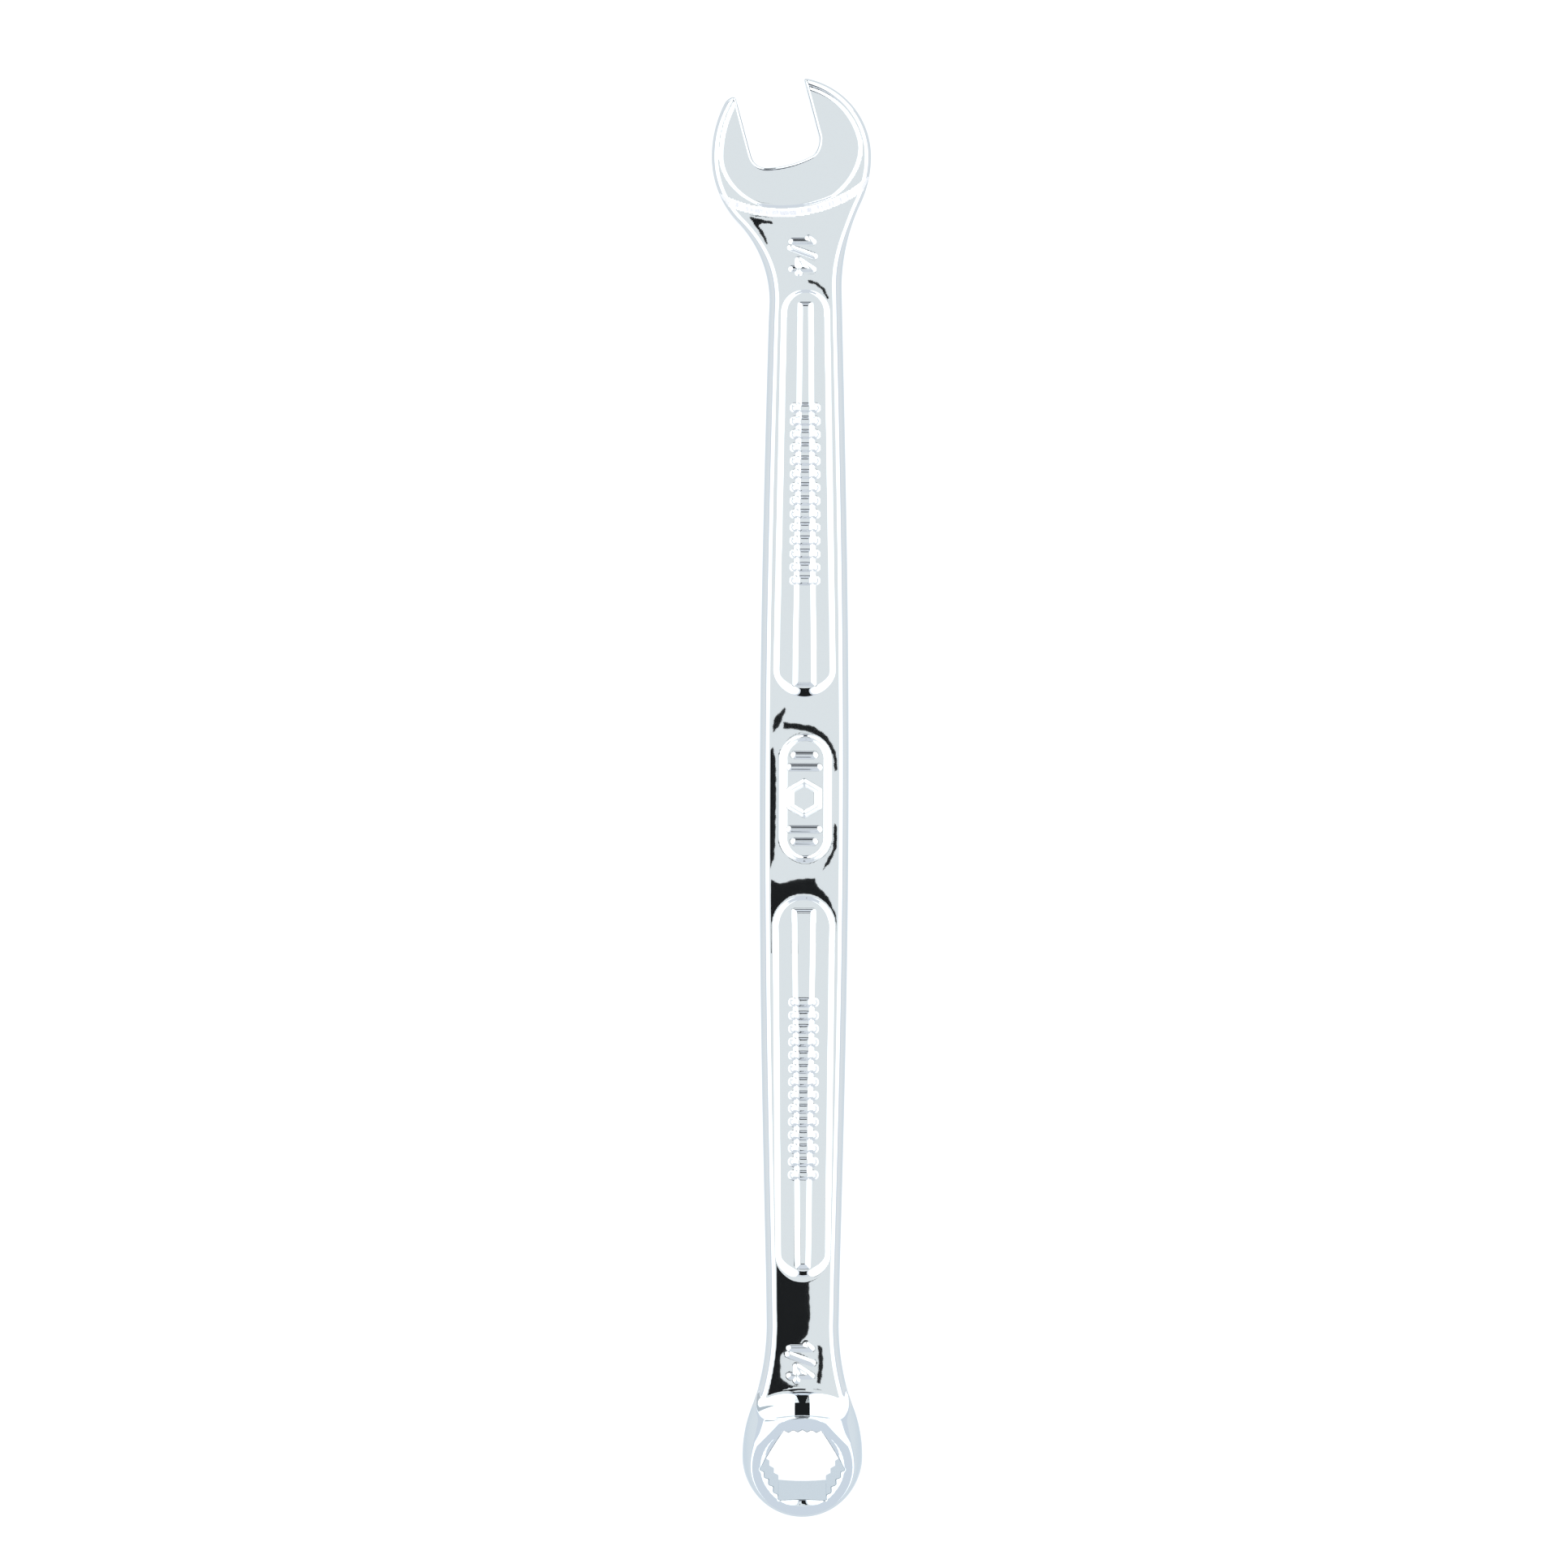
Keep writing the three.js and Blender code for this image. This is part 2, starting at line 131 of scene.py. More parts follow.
EMBLEM_X = 0.1
EMBLEM_NUT = 2.5
EMBLEM_BARS = [(3.9, 0.85), (2.8, 1.25), (-2.8, 1.25), (-3.9, 0.85)]
EMBLEM_BAR_HALF = 0.25

STEP = 0.1
# The grid is as wide on both sides of X = 0, because the back's details are the front's in
# mirror image. The mesh leaves out the part beyond this X, which the wrench doesn't reach.
LAST_X = 6.4

# ---- Plane fields ------------------------------------------------------------------------

XS = np.arange(-9.0, 9.0 + STEP / 2, STEP)
YS = np.arange(-65.9, 65.9 + STEP / 2, STEP)
ZS = np.arange(-4.7, 4.0 + STEP / 2, STEP)
GX, GY = np.meshgrid(XS, YS, indexing="ij")


def ease(t):
    t = np.clip(t, 0, 1)
    return t * t * (3 - 2 * t)


def round_common(a, b, radius):
    """Intersection of two fields, with its edge rounded."""
    u, v = np.maximum(a + radius, 0), np.maximum(b + radius, 0)
    return np.minimum(-radius, np.maximum(a, b)) + np.sqrt(u * u + v * v)


def round_join(a, b, radius):
    """Union of two fields, with a fillet along the crease."""
    u, v = np.maximum(radius - a, 0), np.maximum(radius - b, 0)
    return np.maximum(radius, np.minimum(a, b)) - np.sqrt(u * u + v * v)


def arc(x, y, radius, start, end, spacing=0.12):
    count = max(3, int(abs(end - start) * radius / spacing) + 1)
    angles = np.linspace(start, end, count)
    return np.column_stack([x + radius * np.cos(angles), y + radius * np.sin(angles)])


def bend(start, control, end, count=16):
    t = np.linspace(0, 1, count)[:, None]
    start, control, end = map(np.array, (start, control, end))
    return (1 - t) ** 2 * start + 2 * t * (1 - t) * control + t * t * end


def outline_field(points, xs, ys, reach=2.5):
    """Signed distance to a closed outline, negative inside and exact within reach."""
    points = np.asarray(points, float)
    keep = np.hypot(*(points - np.roll(points, -1, 0)).T) > 1e-6
    points = points[keep]
    best = np.full((len(xs), len(ys)), float(reach * reach))
    inside = np.zeros(best.shape, bool)
    for (x0, y0), (x1, y1) in zip(points, np.roll(points, -1, 0)):
        i0, i1 = np.searchsorted(xs, [min(x0, x1) - reach, max(x0, x1) + reach])
        j0, j1 = np.searchsorted(ys, [min(y0, y1) - reach, max(y0, y1) + reach])
        gx, gy = xs[i0:i1, None] - x0, ys[None, j0:j1] - y0
        dx, dy = x1 - x0, y1 - y0
        t = np.clip((gx * dx + gy * dy) / (dx * dx + dy * dy), 0, 1)
        near = best[i0:i1, j0:j1]
        np.minimum(near, (gx - t * dx) ** 2 + (gy - t * dy) ** 2, out=near)
        a, b = np.searchsorted(ys, sorted((y0, y1)))
        if b > a:
            crossing = x0 + (ys[a:b] - y0) * dx / dy
            inside[:, a:b] ^= xs[:, None] < crossing[None, :]
    return np.where(inside, -1, 1) * np.sqrt(best)


def stroke_field(start, end, half):
    (x0, y0), (x1, y1) = start, end
    dx, dy = x1 - x0, y1 - y0
    t = np.clip(((GX - x0) * dx + (GY - y0) * dy) / (dx * dx + dy * dy), 0, 1)
    return np.hypot(GX - x0 - t * dx, GY - y0 - t * dy) - half


# ---- Outlines ----------------------------------------------------------------------------

def neck_arc(circle, radius, side, end):
    """The arc that joins a circle of the head or the ring to the handle's side."""
    cx, cy, cr = circle
    x = side * (WAIST_HALF + radius)
    y = cy + end * math.sqrt((cr + radius) ** 2 - (x - cx) ** 2)
    return x, y, radius, math.atan2(y - cy, x - cx)


def handle_half(y):
    return WAIST_HALF + (MIDDLE_HALF - WAIST_HALF) * np.cos(np.pi * y / (2 * BULGE_REACH))


def handle_side(side, start, end):
    y = np.linspace(start, end, 300)
    return np.column_stack([side * handle_half(y), y])


def flare_arcs(y, ring_radius):
    offset = FLARE - ring_radius
    right, left = (-offset, y, FLARE), (offset, y, FLARE)
    return right, left, neck_arc(right, FLARE_NECK, 1, 1), neck_arc(left, FLARE_NECK, -1, 1)


def silhouette():
    """The wrench from above, less the ring's tilt: head, handle and flare."""
    left_edge, right_edge = HEAD_X - HEAD_RADIUS, HEAD_X + HEAD_RADIUS
    left_chin = (left_edge + LEFT_CHIN, HEAD_Y, LEFT_CHIN)
    right_chin = (right_edge - RIGHT_CHIN, HEAD_Y, RIGHT_CHIN)
    cheek = (left_edge + LEFT_CHEEK, HEAD_Y, LEFT_CHEEK)
    lx, ly, lr, la = neck_arc(left_chin, LEFT_NECK, -1, -1)
    rx, ry, rr, ra = neck_arc(right_chin, RIGHT_NECK, 1, -1)
    ring_radius = RING_RADIUS - RING_UNDERCUT
    right, left, right_neck, left_neck = flare_arcs(RING_Y, ring_radius)
    # The left cheek is flatter than the right one. They meet above the jaws.
    meet = math.acos((cheek[0] - HEAD_X) / LEFT_CHEEK)
    top = math.pi - meet
    side_end = BULGE_REACH - 3
    pi = math.pi
    return np.vstack([
        arc(HEAD_X, HEAD_Y, HEAD_RADIUS, 0, pi / 2),
        arc(cheek[0], HEAD_Y, LEFT_CHEEK, top, pi),
        arc(left_chin[0], HEAD_Y, LEFT_CHIN, pi, la + 2 * pi),
        arc(lx, ly, lr, la + pi, 0),
        handle_side(-1, side_end, -side_end),
        arc(left_neck[0], left_neck[1], FLARE_NECK, 0, left_neck[3] - pi),
        arc(left[0], RING_Y, FLARE, left_neck[3], pi),
        arc(0, RING_Y, ring_radius, pi, 2 * pi),
        arc(right[0], RING_Y, FLARE, 0, right_neck[3]),
        arc(right_neck[0], right_neck[1], FLARE_NECK, right_neck[3] + pi, pi),
        handle_side(1, -side_end, side_end),
        arc(rx, ry, rr, pi, ra + pi),
        arc(right_chin[0], HEAD_Y, RIGHT_CHIN, ra, 0),
    ])


def jaw_outline():
    half = JAW_OPENING / 2
    points = np.vstack([
        [(-half, 13)],
        bend((-half, 1.75), (-half, 0.6), (-half + 1.05, 0.28)),
        bend((-half + 1.05, 0.28), (0, -0.22), (half - 1, 0.3)),
        bend((half - 1, 0.3), (half - 0.25, 0.7), (half, 1.75)),
        [(half, 13)],
    ])
    c, s = math.cos(JAW_TURN), math.sin(JAW_TURN)
    x, y = points.T
    return np.column_stack([x * c - y * s + THROAT_X, x * s + y * c + THROAT_Y])


def ring_outline():
    right, left, right_neck, left_neck = flare_arcs(0, RING_RADIUS)
    pi = math.pi
    return np.vstack([
        arc(left_neck[0], left_neck[1], FLARE_NECK, 0, left_neck[3] - pi),
        arc(left[0], 0, FLARE, left_neck[3], pi),
        arc(0, 0, RING_RADIUS, pi, 2 * pi),
        arc(right[0], 0, FLARE, 0, right_neck[3]),
        arc(right_neck[0], right_neck[1], FLARE_NECK, right_neck[3] + pi, pi),
    ])


def ring_face_outline():
    kink, nose = 0.46, 1.5
    low = RING_PEAK - PEAK_BEND
    return np.vstack([
        arc(0, 0, RING_FACE, math.pi - kink, 2 * math.pi + kink),
        bend((nose, low), (0, RING_PEAK + PEAK_BEND), (-nose, low), 24),
    ])


def bore_outline():
    """A hexagon whose flats are plain and toothed by turns."""
    apothem = BORE_FLATS / 2
    corner = apothem * math.tan(math.pi / 6)
    relief = TOOTH_DEPTH / math.cos(math.pi / 6)
    points = []

    def place(side, out, along):
        a = -math.pi / 2 + side * math.pi / 3
        c, s = math.cos(a), math.sin(a)
        points.append((out * c - along * s, out * s + along * c))

    for side in range(0, 6, 2):
        place(side, apothem, -corner - relief)
        place(side, apothem, corner + relief)
        steps = TEETH_PER_SIDE * 2
        for i in range(1, steps):
            along = (corner - relief / 2) * (2 * i / steps - 1)
            valley = 0.5 + 0.5 * math.cos(i * math.pi)
            place(side + 1, apothem + TOOTH_DEPTH * valley, along)
    return points


def panel_outline(panel):
    top, bottom = panel["top"], panel["bottom"]
    return np.vstack([
        arc(0, top - panel["top_half"], panel["top_half"], 0, math.pi, 0.06),
        arc(0, bottom + panel["bottom_half"], panel["bottom_half"], math.pi, 2 * math.pi, 0.06),
    ])


# ---- Height of the faces -----------------------------------------------------------------

def raise_to(height, level, field, edge):
    """Raises a face to at least a level inside a field, with an eased edge."""
    return np.maximum(height, height + (level - height) * ease(-field / edge + 0.5))


def panel_height(height, panel):
    top, bottom = panel["top"], panel["bottom"]
    inner = outline_field(panel_outline(panel), XS, YS, 1.5)
    # The end towards the box end runs out in a ramp, and the other end is shallower.
    lip = PANEL_LIP + PANEL_RAMP * ease((bottom + 2.4 - GY) / 1.8)
    depth = PANEL_DEPTH * (1 - PANEL_TOP_LIFT * ease((GY - top + 2.5) / 2))
    height = height - depth * ease(-inner / lip)
    ribs = [
        (-panel["rib_bottom"], bottom + RIB_END_GAP),
        (panel["rib_bottom"], bottom + RIB_END_GAP),
        (panel["rib_top"], top - RIB_END_GAP),
        (-panel["rib_top"], top - RIB_END_GAP),
    ]
    rib = outline_field(ribs, XS, YS, 1.5)
    crown = HANDLE_HALF_THICK - RIB_DROP
    height = np.maximum(height, height + (crown - height) * ease(-rib / RIB_EDGE + 0.1))
    middle = (top + bottom) / 2
    bar_top = HANDLE_HALF_THICK + BAR_RISE - GX ** 2 / (2 * BAR_CROWN)
    for i in range(BARS):
        y = middle + (i - (BARS - 1) / 2) * BAR_PITCH
        reach = (BAR_WIDTH - BAR_LENGTH) / 2
        field = stroke_field((-reach, y), (reach, y), BAR_LENGTH / 2)
        height = raise_to(height, bar_top, field, MARK_EDGE)
    return height


def hexagon_field(flats):
    apothem = flats / 2
    fields = [GX * math.cos(a) + GY * math.sin(a) - apothem for a in np.arange(6) * math.pi / 3]
    return np.max(fields, axis=0)


def size_mark(x, y):
    """The size in inches, read along the handle towards the box end."""
    lines = [
        ((0.35, 0.15), (0.35, 2.35)), ((0.35, 2.35), (0, 1.9)), ((1, 0), (1.9, 2.5)),
        ((3.3, 0.15), (3.3, 2.35)), ((3.3, 2.35), (2.3, 0.85)), ((2.3, 0.85), (3.75, 0.85)),
    ]
    middle_along, middle_up = 1.9, 1.25

    def on_handle(point):
        along, up = point
        return x + (up - middle_up) * SIZE_MARK_SCALE, y - (along - middle_along) * SIZE_MARK_SCALE

    strokes = [stroke_field(on_handle(a), on_handle(b), SIZE_MARK_HALF) for a, b in lines]
    return np.min(strokes, axis=0)


def emblem():
    """A plain emblem: a round-ended rim round a hexagon, with two bars above and two below."""
    low, high = (EMBLEM_X, -EMBLEM_END_Y), (EMBLEM_X, EMBLEM_END_Y)
    rim = np.abs(stroke_field(low, high, EMBLEM_HALF_WIDTH)) - EMBLEM_LINE_HALF
    nut = np.abs(hexagon_field(EMBLEM_NUT)) - EMBLEM_LINE_HALF
    bars = [stroke_field((-h, y), (h, y), EMBLEM_BAR_HALF) for y, h in EMBLEM_BARS]
    return np.min([rim, nut, *bars], axis=0)


def handle_height():
    """Height of the handle's front above the parting plane, with panels, bars and marks."""
    height = np.full(GX.shape, HANDLE_HALF_THICK)
    for panel in (UPPER_PANEL, LOWER_PANEL):
        height = panel_height(height, panel)
    sizes = [size_mark(x, y) for x, y in SIZE_MARKS]
    marks = np.min([emblem(), *sizes], axis=0)
    return height + MARK_HEIGHT * ease(-marks / MARK_EDGE + 0.3)


def left_tip():
    """Distance past the left jaw's blunt tip, along the jaws. The right jaw is left whole."""
    well_inside = -5
    dx, dy = GX - THROAT_X, GY - THROAT_Y
    across = dx * math.cos(JAW_TURN) + dy * math.sin(JAW_TURN)
    along = dy * math.cos(JAW_TURN) - dx * math.sin(JAW_TURN)
    return np.where(across < 0, along - LEFT_JAW_REACH, well_inside)


def brow_field(x, y, radius, lowest):
    """The circle that bounds the head's raised part towards the handle."""
    return np.hypot(x - BROW_X, y - lowest - radius) - radius


def solid_field():
    """The whole wrench as a field over XS, YS and ZS, negative inside."""
    plan = outline_field(silhouette(), XS, YS, 2.5)
    jaw = outline_field(jaw_outline(), XS, YS, 2.5)
    # The step that bounds the head's raised part is a little uneven, as forged.
    ripple = 0.05 * np.sin(5.3 * GX + 3 * np.sin(1.9 * GX)) + 0.025 * np.sin(17 * GX + 5 * GY)
    brow = ease(-(brow_field(GX, GY, BROW_RADIUS, BROW_Y) + ripple) / BROW_STEP)
    face_brow = brow_field(GX, GY, FACE_BROW_RADIUS, FACE_BROW_Y)
    face = round_common(plan + FACE_INSET, face_brow, FACE_CORNER)
    raised = HEAD_EDGE_HALF - HANDLE_HALF_THICK
    head_height = raised * brow + FACE_HEIGHT * ease(-face / FACE_EDGE)
    detail = handle_height()
    front = detail + head_height
    back = detail[::-1] + head_height
    on_head = ease((GY - HEAD_BLEND_Y) / HEAD_BLEND)
    inset = SIDE_INSET + (HEAD_EDGE_ROUND - SIDE_INSET) * on_head
    edge = HANDLE_EDGE + (HEAD_EDGE - HANDLE_EDGE) * on_head
    edge, inset = edge[..., None], inset[..., None]
    z = ZS[None, None, :]
    half = np.where(z > 0, front[..., None], back[..., None]).astype(np.float32)
    # Across the rounded edge, q and m rise from 0 to 1, outwards in plan and in height.
    q = (np.maximum(plan[..., None] + inset, 0) / inset).astype(np.float32)
    m = (np.maximum(np.abs(z) - (half - edge), 0) / edge).astype(np.float32)
    k = np.sqrt(q * q + m * m)
    k1 = np.sqrt((q / inset) ** 2 + (m / edge) ** 2) + 1e-6
    well_inside = -0.5
    field = np.where(k > 0.02, k * (k - 1) / k1, well_inside).astype(np.float32)
    field = np.maximum(field, (RING_Y - GY)[..., None])
    field = round_common(field, -jaw[..., None], JAW_ROUND)
    field = round_common(field, left_tip()[..., None], LEFT_TIP_ROUND)
    return join_ring(field.astype(np.float32))


def scoop_edge(x):
    """The bowed line across the handle where the hollow begins."""
    return SCOOP_Y - x ** 2 / (2 * SCOOP_BOW)


def scoop_field(z, y):
    """The hollow across the neck that ends the flare, below the peak of the box end's face."""
    past = scoop_edge(XS[:, None, None]) - y
    rise = SCOOP_SLOPE * past + SCOOP_CURVE * np.maximum(past, 0) ** 2
    slope = SCOOP_SLOPE + 2 * SCOOP_CURVE * np.maximum(past, 0)
    return (z - HANDLE_HALF_THICK - rise) / np.hypot(1, slope)


def join_ring(field):
    """Adds the tilted box end to the handle's field, and cuts its bore."""
    last = np.searchsorted(YS, RING_REACH_Y)
    c, s = math.cos(RING_TILT), math.sin(RING_TILT)
    y, z = YS[:last, None] - RING_Y, ZS[None, :] - RING_Z
    v, w = y * c + z * s, np.abs(z * c - y * s)
    step = STEP / 2
    vs = np.arange(-9, 18, step)
    at = np.clip((v - vs[0]) / step, 0, len(vs) - 1.001)
    low = at.astype(int)
    part = at - low

    def placed(plane):
        return plane[:, low] * (1 - part) + plane[:, low + 1] * part

    # The sides swell from the outline of the faces to the silhouette half-way between them.
    plan = placed(outline_field(ring_outline(), XS, vs, 3))
    face = placed(outline_field(ring_face_outline(), XS, vs, 4))
    bore = placed(outline_field(bore_outline(), XS, vs, 2))
    w = w[None]
    least_width = 0.4
    width = np.maximum(face - plan, least_width)
    q, m = np.maximum(face, 0) / width, w / RING_HALF + 1e-4
    k = (q ** RING_BULGE + m ** RING_BULGE) ** (1 / RING_BULGE)
    steepness = np.hypot(q ** (RING_BULGE - 1) / width, m ** (RING_BULGE - 1) / RING_HALF)
    barrel = (k - 1) * k ** (RING_BULGE - 1) / (steepness + 0.02)
    ring = round_common(barrel, w - RING_HALF, RING_EDGE_ROUND)
    ring = round_common(ring, scoop_field(ZS[None, None], YS[None, :last, None]), RING_JOIN)
    joined = round_join(ring, field[:, :last], RING_JOIN)
    radius = np.hypot(XS[:, None, None], v[None])
    slope = (LEAD_RADIUS - BORE_FLATS / 2) / LEAD_DEPTH
    lead = (BORE_FLATS / 2 + (w - RING_HALF + LEAD_DEPTH) * slope - radius) / math.hypot(1, slope)
    hole = round_join(bore, -lead, 0.02)
    field[:, :last] = round_common(joined, -hole, BORE_ROUND)
    return field


# ---- From the field to a mesh ------------------------------------------------------------

def sampled(grid, places):
    """The grid's values at places given in cells, with straight-line interpolation."""
    low = np.clip(places.astype(int), 0, np.array(grid.shape[:3]) - 2)
    part = (places - low).astype(np.float32)
    total = 0
    for dx in (0, 1):
        for dy in (0, 1):
            for dz in (0, 1):
                weight = np.prod(np.abs(1 - np.array([dx, dy, dz], np.float32) - part), axis=1)
                total = total + weight * grid[low[:, 0] + dx, low[:, 1] + dy, low[:, 2] + dz]
    return total


def wrench_mesh():
    """Points, quads and normals of the field's surface, in the design frame."""
    used = np.searchsorted(XS, LAST_X)
    band = 0.6
    field = np.clip(solid_field()[:used], -band, band).astype(np.float32)
    grid = openvdb.FloatGrid(band)
    grid.copyFromArray(field)
    places, quads = grid.convertToQuads(0.0)
    places = places.astype(np.float32)
    slopes = np.gradient(field)
    # Three Newton steps bring each point on to the surface.
    longest_move = 0.4
    for _ in range(3):
        normals = np.column_stack([sampled(g, places) for g in slopes])
        length = np.linalg.norm(normals, axis=1) + 1e-9
        move = sampled(field, places) / length ** 2
        limit = longest_move / length
        places -= normals * np.clip(move, -limit, limit)[:, None]
    normals = np.column_stack([sampled(g, places) for g in slopes])
    normals /= np.linalg.norm(normals, axis=1)[:, None]
    design = places * STEP + np.array([XS[0], YS[0], ZS[0]])
    a, b, c = (design[quads[:, i]] for i in range(3))
    if np.sum(np.cross(b - a, c - a) * normals[quads[:, 0]]) < 0:
        quads = quads[:, ::-1]
    return design, quads, normals


def place_in_row(design):
    """The design frame's origin in the row frame: the wrench fills the CAD wrench's box."""
    low, high = (np.array(v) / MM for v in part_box("wrench_body"))
    shift = (low + high) / 2 - (design.min(0) + design.max(0)) / 2
    shift[2] = low[2] - design[:, 2].min()
    return shift


design, quads, normals = wrench_mesh()
origin = place_in_row(design)
mesh = bpy.data.meshes.new("wrench")
mesh.vertices.add(len(design))
mesh.vertices.foreach_set("co", ((design + origin) * MM).astype(np.float32).ravel())
mesh.loops.add(quads.size)
mesh.loops.foreach_set("vertex_index", quads.astype(np.int32).ravel())
mesh.polygons.add(len(quads))
mesh.polygons.foreach_set("loop_start", np.arange(0, quads.size, 4, dtype=np.int32))
mesh.update(calc_edges=True)
mesh.validate()
mesh.polygons.foreach_set("use_smooth", np.ones(len(mesh.polygons), bool))
mesh.normals_split_custom_set_from_vertices(normals.tolist())
wrench = bpy.data.objects.new("wrench", mesh)
bpy.context.scene.collection.objects.link(wrench)
print("vertices", len(mesh.vertices), "faces", len(mesh.polygons), "origin", origin)

# ---- Materials ---------------------------------------------------------------------------

EDGE_TINT = (0.78, 0.83, 0.87, 1)
POLISH_GRAIN_SCALE = 9000


def nodes_of(name):
    material = bpy.data.materials.new(name)
    material.use_nodes = True
    tree = material.node_tree
    return material, tree, tree.nodes["Principled BSDF"]


def chrome(name, tint, roughness, wave, wave_scale, grain):
    """Bright plating: a slow waviness left by the forging under a fine polish grain."""
    material, tree, shader = nodes_of(name)
    shader.inputs["Base Color"].default_value = (*tint, 1)
    shader.inputs["Metallic"].default_value = 1
    shader.inputs["Specular Tint"].default_value = EDGE_TINT
    coordinates = tree.nodes.new("ShaderNodeTexCoord")
    waves = tree.nodes.new("ShaderNodeTexNoise")
    waves.inputs["Scale"].default_value = wave_scale
    waves.inputs["Detail"].default_value = 2
    fine = tree.nodes.new("ShaderNodeTexNoise")
    fine.inputs["Scale"].default_value = POLISH_GRAIN_SCALE
    fine.inputs["Detail"].default_value = 1
    rough = tree.nodes.new("ShaderNodeMapRange")
    rough.inputs["To Min"].default_value = roughness * 0.6
    rough.inputs["To Max"].default_value = roughness * 1.4
    swell = tree.nodes.new("ShaderNodeBump")
    swell.inputs["Distance"].default_value = wave
    polish = tree.nodes.new("ShaderNodeBump")
    polish.inputs["Distance"].default_value = grain
    for noise in (waves, fine):
        tree.links.new(coordinates.outputs["Object"], noise.inputs["Vector"])
    tree.links.new(waves.outputs["Fac"], rough.inputs["Value"])
    tree.links.new(rough.outputs["Result"], shader.inputs["Roughness"])
    tree.links.new(waves.outputs["Fac"], swell.inputs["Height"])
    tree.links.new(fine.outputs["Fac"], polish.inputs["Height"])
    tree.links.new(swell.outputs["Normal"], polish.inputs["Normal"])
    tree.links.new(polish.outputs["Normal"], shader.inputs["Normal"])
    return material


POLISH = dict(roughness=0.02, wave=2e-6, wave_scale=260, grain=4e-9)
SATIN = dict(roughness=0.32, wave=8e-6, wave_scale=2400, grain=1e-6)
mesh.materials.append(chrome("polished_chrome", (0.63, 0.67, 0.69), **POLISH))
# The box end's chrome is tinted bluer than the rest of the same plating: a painted bluish
# reflection.
mesh.materials.append(chrome("polished_chrome_box_end_painted_reflection", (0.6, 0.66, 0.697), **POLISH))
# The step's satin roughness and crinkle are its own finish, but its tint, lighter than the rest of
# the plating, is a painted highlight.
mesh.materials.append(chrome("satin_chrome_brow_painted_highlight", (0.86, 0.87, 0.885), **SATIN))

# The box end past the hollow has the second material, tinted bluer as a painted reflection, the
# step below the head's faces the third.
# These bounds pick the step's faces, which get the satin finish and the painted highlight tint.
SATIN_HIGHLIGHT_HALF = 0.36
SATIN_HIGHLIGHT_LOW_Y, SATIN_HIGHLIGHT_HIGH_Y, SATIN_HIGHLIGHT_LOW_Z = 50, HEAD_Y, 1.45
x, y, z = design[quads].mean(axis=1).T
beyond = y < scoop_edge(x)
stepped = np.abs(brow_field(x, y, BROW_RADIUS, BROW_Y) + BROW_STEP / 2) < SATIN_HIGHLIGHT_HALF
stepped &= (y > SATIN_HIGHLIGHT_LOW_Y) & (y < SATIN_HIGHLIGHT_HIGH_Y) & (np.abs(z) > SATIN_HIGHLIGHT_LOW_Z)
mesh.polygons.foreach_set("material_index", np.where(stepped, 2, beyond).astype(np.int32))
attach(wrench, "root")
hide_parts("wrench_body")

# ---- Stage, light and camera -------------------------------------------------------------
# The studio is measured in millimetres from the row frame's origin, and the floor's half in metres.

STUDIO_HEIGHT = 600
STUDIO_FAR, STUDIO_NEAR = 1500, -1300
STUDIO_SIDE = 1650
GAP_HALF = 72
COLUMN_HALF = 170
DIM_PANEL_DROP = 10
FLOOR_HALF = 30
FLOOR_GAP = 0.02
FLAG_HEIGHT = 40
DISTANCE = 640
FRAME_WIDTH = 142.06
AIM = (-1.83, 1.29)
SENSOR_WIDTH = 36
ROLL = math.radians(0.161)


def emission(name, colour, strength):
    material = bpy.data.materials.new(name)
    material.use_nodes = True
    tree = material.node_tree
    tree.nodes.clear()
    light = tree.nodes.new("ShaderNodeEmission")
    light.inputs["Color"].default_value = (*colour, 1)
    light.inputs["Strength"].default_value = strength
    out = tree.nodes.new("ShaderNodeOutputMaterial")
    tree.links.new(light.outputs[0], out.inputs["Surface"])
    return material


def card(name, points, material):
    """A flat piece of the studio, which the camera doesn't see."""
    data = bpy.data.meshes.new(name)
    data.from_pydata([tuple(c * MM for c in p) for p in points], [], [tuple(range(len(points)))])
    data.materials.append(material)
    made = bpy.data.objects.new(name, data)
    bpy.context.scene.collection.objects.link(made)
    made.visible_camera = False
    made.visible_shadow = False


def ceiling(name, outline, material, height=STUDIO_HEIGHT):
    card(name, [(x, y, height) for x, y in outline], material)


def box(x0, x1, y0, y1):
    return [(x0, y0), (x1, y0), (x1, y1), (x0, y1)]


def back_wall(name, x0, x1, material):
    corners = box(x0, x1, 0, STUDIO_HEIGHT)
    card(name, [(x, STUDIO_FAR, z) for x, z in corners], material)


soft = emission("softbox", (1, 1, 1), 1.9)
cap = emission("ceiling", (0.985, 1.0, 1.01), 1.13)
black = emission("flag", (0.9, 0.95, 1), 0.02)
dim = emission("dim_panel", (0.95, 1, 1.05), 0.75)
softbox = [
    (GAP_HALF, STUDIO_FAR), (STUDIO_SIDE, STUDIO_FAR), (STUDIO_SIDE, STUDIO_NEAR),
    (500, STUDIO_NEAR), (230, -290), (GAP_HALF, -290),
]
boom_far = [(-70, 640), (70, 640), (COLUMN_HALF, STUDIO_FAR), (-COLUMN_HALF, STUDIO_FAR)]
for side, name in ((-1, "softbox_left"), (1, "softbox_right")):
    ceiling(name, [(side * x, y) for x, y in softbox], soft)
ceiling("ceiling_middle", box(-GAP_HALF, GAP_HALF, -160, 150), cap)
ceiling("dim_panel", box(-1400, -560, 560, 1350), dim, STUDIO_HEIGHT - DIM_PANEL_DROP)
ceiling("boom", box(-54, 54, 190, 350), black)
ceiling("boom_far", boom_far, black)
back_wall("back_left", -STUDIO_SIDE, -COLUMN_HALF, soft)
back_wall("back_right", COLUMN_HALF, STUDIO_SIDE, soft)
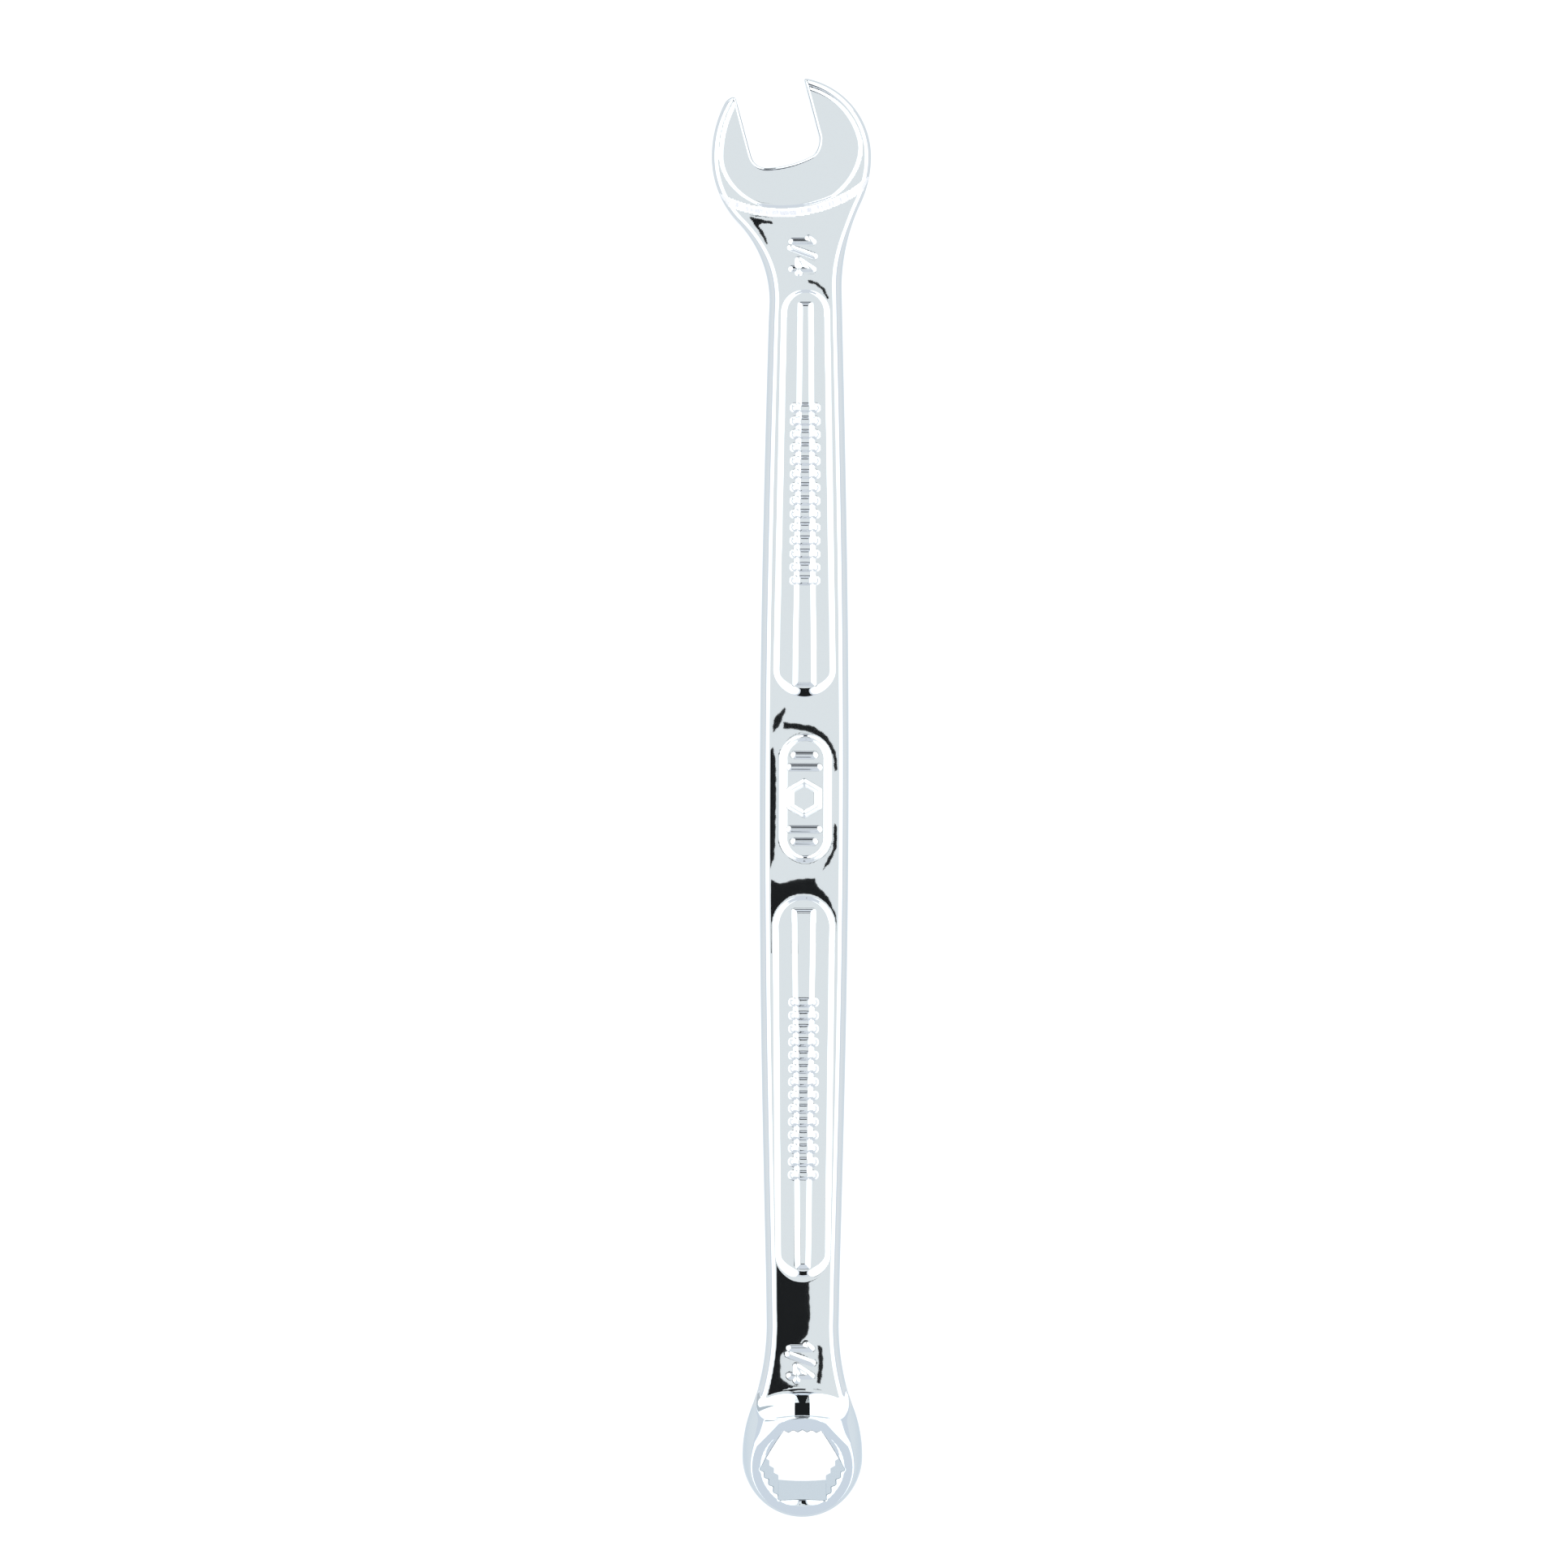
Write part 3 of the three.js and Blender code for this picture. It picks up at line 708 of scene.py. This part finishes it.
back_wall("column", -COLUMN_HALF, COLUMN_HALF, black)

world = bpy.data.worlds.new("studio")
bpy.context.scene.world = world
world.use_nodes = True
sky = world.node_tree.nodes["Background"]
sky.inputs["Color"].default_value = (0.98, 1.01, 1.08, 1)
sky.inputs["Strength"].default_value = 1.0

floor_data = bpy.data.meshes.new("floor")
corners = box(-FLOOR_HALF, FLOOR_HALF, -FLOOR_HALF, FLOOR_HALF)
floor_data.from_pydata([(x, y, 0) for x, y in corners], [], [(0, 1, 2, 3)])
floor = bpy.data.objects.new("floor", floor_data)
bpy.context.scene.collection.objects.link(floor)
floor.location.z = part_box("wrench_body")[0].z - FLOOR_GAP * MM
pale, tree, shader = nodes_of("pale_floor")
shader.inputs["Base Color"].default_value = (0.05, 0.05, 0.05, 1)
shader.inputs["Roughness"].default_value = 1
shader.inputs["Specular IOR Level"].default_value = 0
shader.inputs["Emission Color"].default_value = (1.0, 1.015, 1.04, 1)
shader.inputs["Emission Strength"].default_value = 1.01
floor_data.materials.append(pale)

# Small black flags over the wrench, which its flats mirror to the camera. Each outline says
# where on the wrench its reflection is seen, in the design frame.
FLAGS = [
    [(-2.9, -36), (-2.45, -36), (-2.5, -40), (-2.6, -41.4), (-0.9, -43), (0.95, -42.2),
     (0.55, -43.6), (0.7, -46.5), (0.45, -48.3), (-0.3, -49.2), (-1.5, -49.7), (-2, -50.3),
     (-2, -52.2), (-1.2, -52.9), (-0.1, -53.1), (-0.3, -53.7), (-3.6, -54.6), (-3.2, -50),
     (-2.9, -45)],
    [(1.35, -49.3), (1.75, -49.5), (1.85, -51.2), (1.6, -52.8), (1.3, -52.7), (1.45, -51)],
    [(-3.6, 4.2), (-2.8, 4.6), (-2.6, 3.5), (-2.5, 0), (-2.6, -3.5), (-2.7, -5.5), (-3.2, -6.4),
     (-3.7, -5)],
    [(-2.7, 7.3), (-1.75, 8.2), (-1.7, 7.8), (-2.3, 6.5), (-2.85, 5.9), (-2.9, 6.5)],
    [(-1.9, 6.9), (-0.6, 6.75), (0.9, 6.5), (2.1, 5.6), (2.85, 4.2), (3.05, 2.6), (2.75, 2.4),
     (2.6, 3.9), (1.8, 5.1), (0.7, 5.95), (-0.6, 6.2), (-1.9, 6.3)],
    [(2.75, -2.2), (3, -2.6), (2.95, -4.4), (2.3, -5.9), (1.7, -6.5), (1.9, -5.9), (2.6, -4.6),
     (2.65, -3)],
    [(-3.1, -7.3), (-2.2, -7.7), (-0.6, -7.3), (1, -7.2), (1.25, -7.9), (2.2, -8.9), (2.95, -10.6),
     (3, -12.2), (2.75, -11.5), (2.3, -9.9), (1.3, -8.9), (0, -8.6), (-1.3, -8.9), (-2.3, -9.9),
     (-2.75, -11.5), (-2.75, -14), (-3.3, -14), (-3.3, -9)],
    [(-5.1, 52.4), (-4.2, 52.25), (-3.05, 52), (-3, 51.75), (-3.95, 51.85), (-4.25, 51.6),
     (-3.8, 51), (-3.4, 50), (-3.5, 49.9), (-3.95, 50.7), (-4.5, 51.5)],
    [(0.2, 46.75), (1, 46.55), (1.7, 46), (2.1, 45.1), (1.9, 45), (1.5, 45.8), (0.9, 46.3),
     (0.2, 46.5)],
]


def ragged(points, depth=0.035, spacing=0.05):
    """The outline with an uneven edge."""
    points = np.array(points, float)
    edge = []
    for i, (a, b) in enumerate(zip(points, np.roll(points, -1, 0))):
        length = np.linalg.norm(b - a)
        across = np.array([a[1] - b[1], b[0] - a[0]]) / length
        for t in np.arange(0, 1, spacing / max(length, spacing)):
            wave = math.sin(7 * (i + t * length)) + math.sin(31.7 * (i + t * length) + 1.3)
            edge.append(a + (b - a) * t + across * depth * wave * math.sin(math.pi * t))
    return np.array(edge)


for i, points in enumerate(FLAGS):
    spread = ragged(points)
    spread += (spread - AIM) * FLAG_HEIGHT / DISTANCE + origin[:2]
    card(f"flag_{i}", [(x, y, origin[2] + FLAG_HEIGHT) for x, y in spread], black)

# The camera looks straight down, turned a touch about its own axis.
aim = Vector((AIM[0] + origin[0], AIM[1] + origin[1], origin[2])) * MM
camera_data = bpy.data.cameras.new("camera")
camera_data.sensor_width = SENSOR_WIDTH
camera_data.lens = SENSOR_WIDTH * DISTANCE / FRAME_WIDTH
camera_data.clip_start, camera_data.clip_end = 0.01, 100
camera = bpy.data.objects.new("camera", camera_data)
bpy.context.scene.collection.objects.link(camera)
camera.location = aim + Vector((0, 0, DISTANCE * MM))
camera.rotation_euler = (0, 0, ROLL)
bpy.context.scene.camera = camera

scene = bpy.context.scene
scene.view_settings.view_transform = "Standard"
scene.view_settings.look = "None"
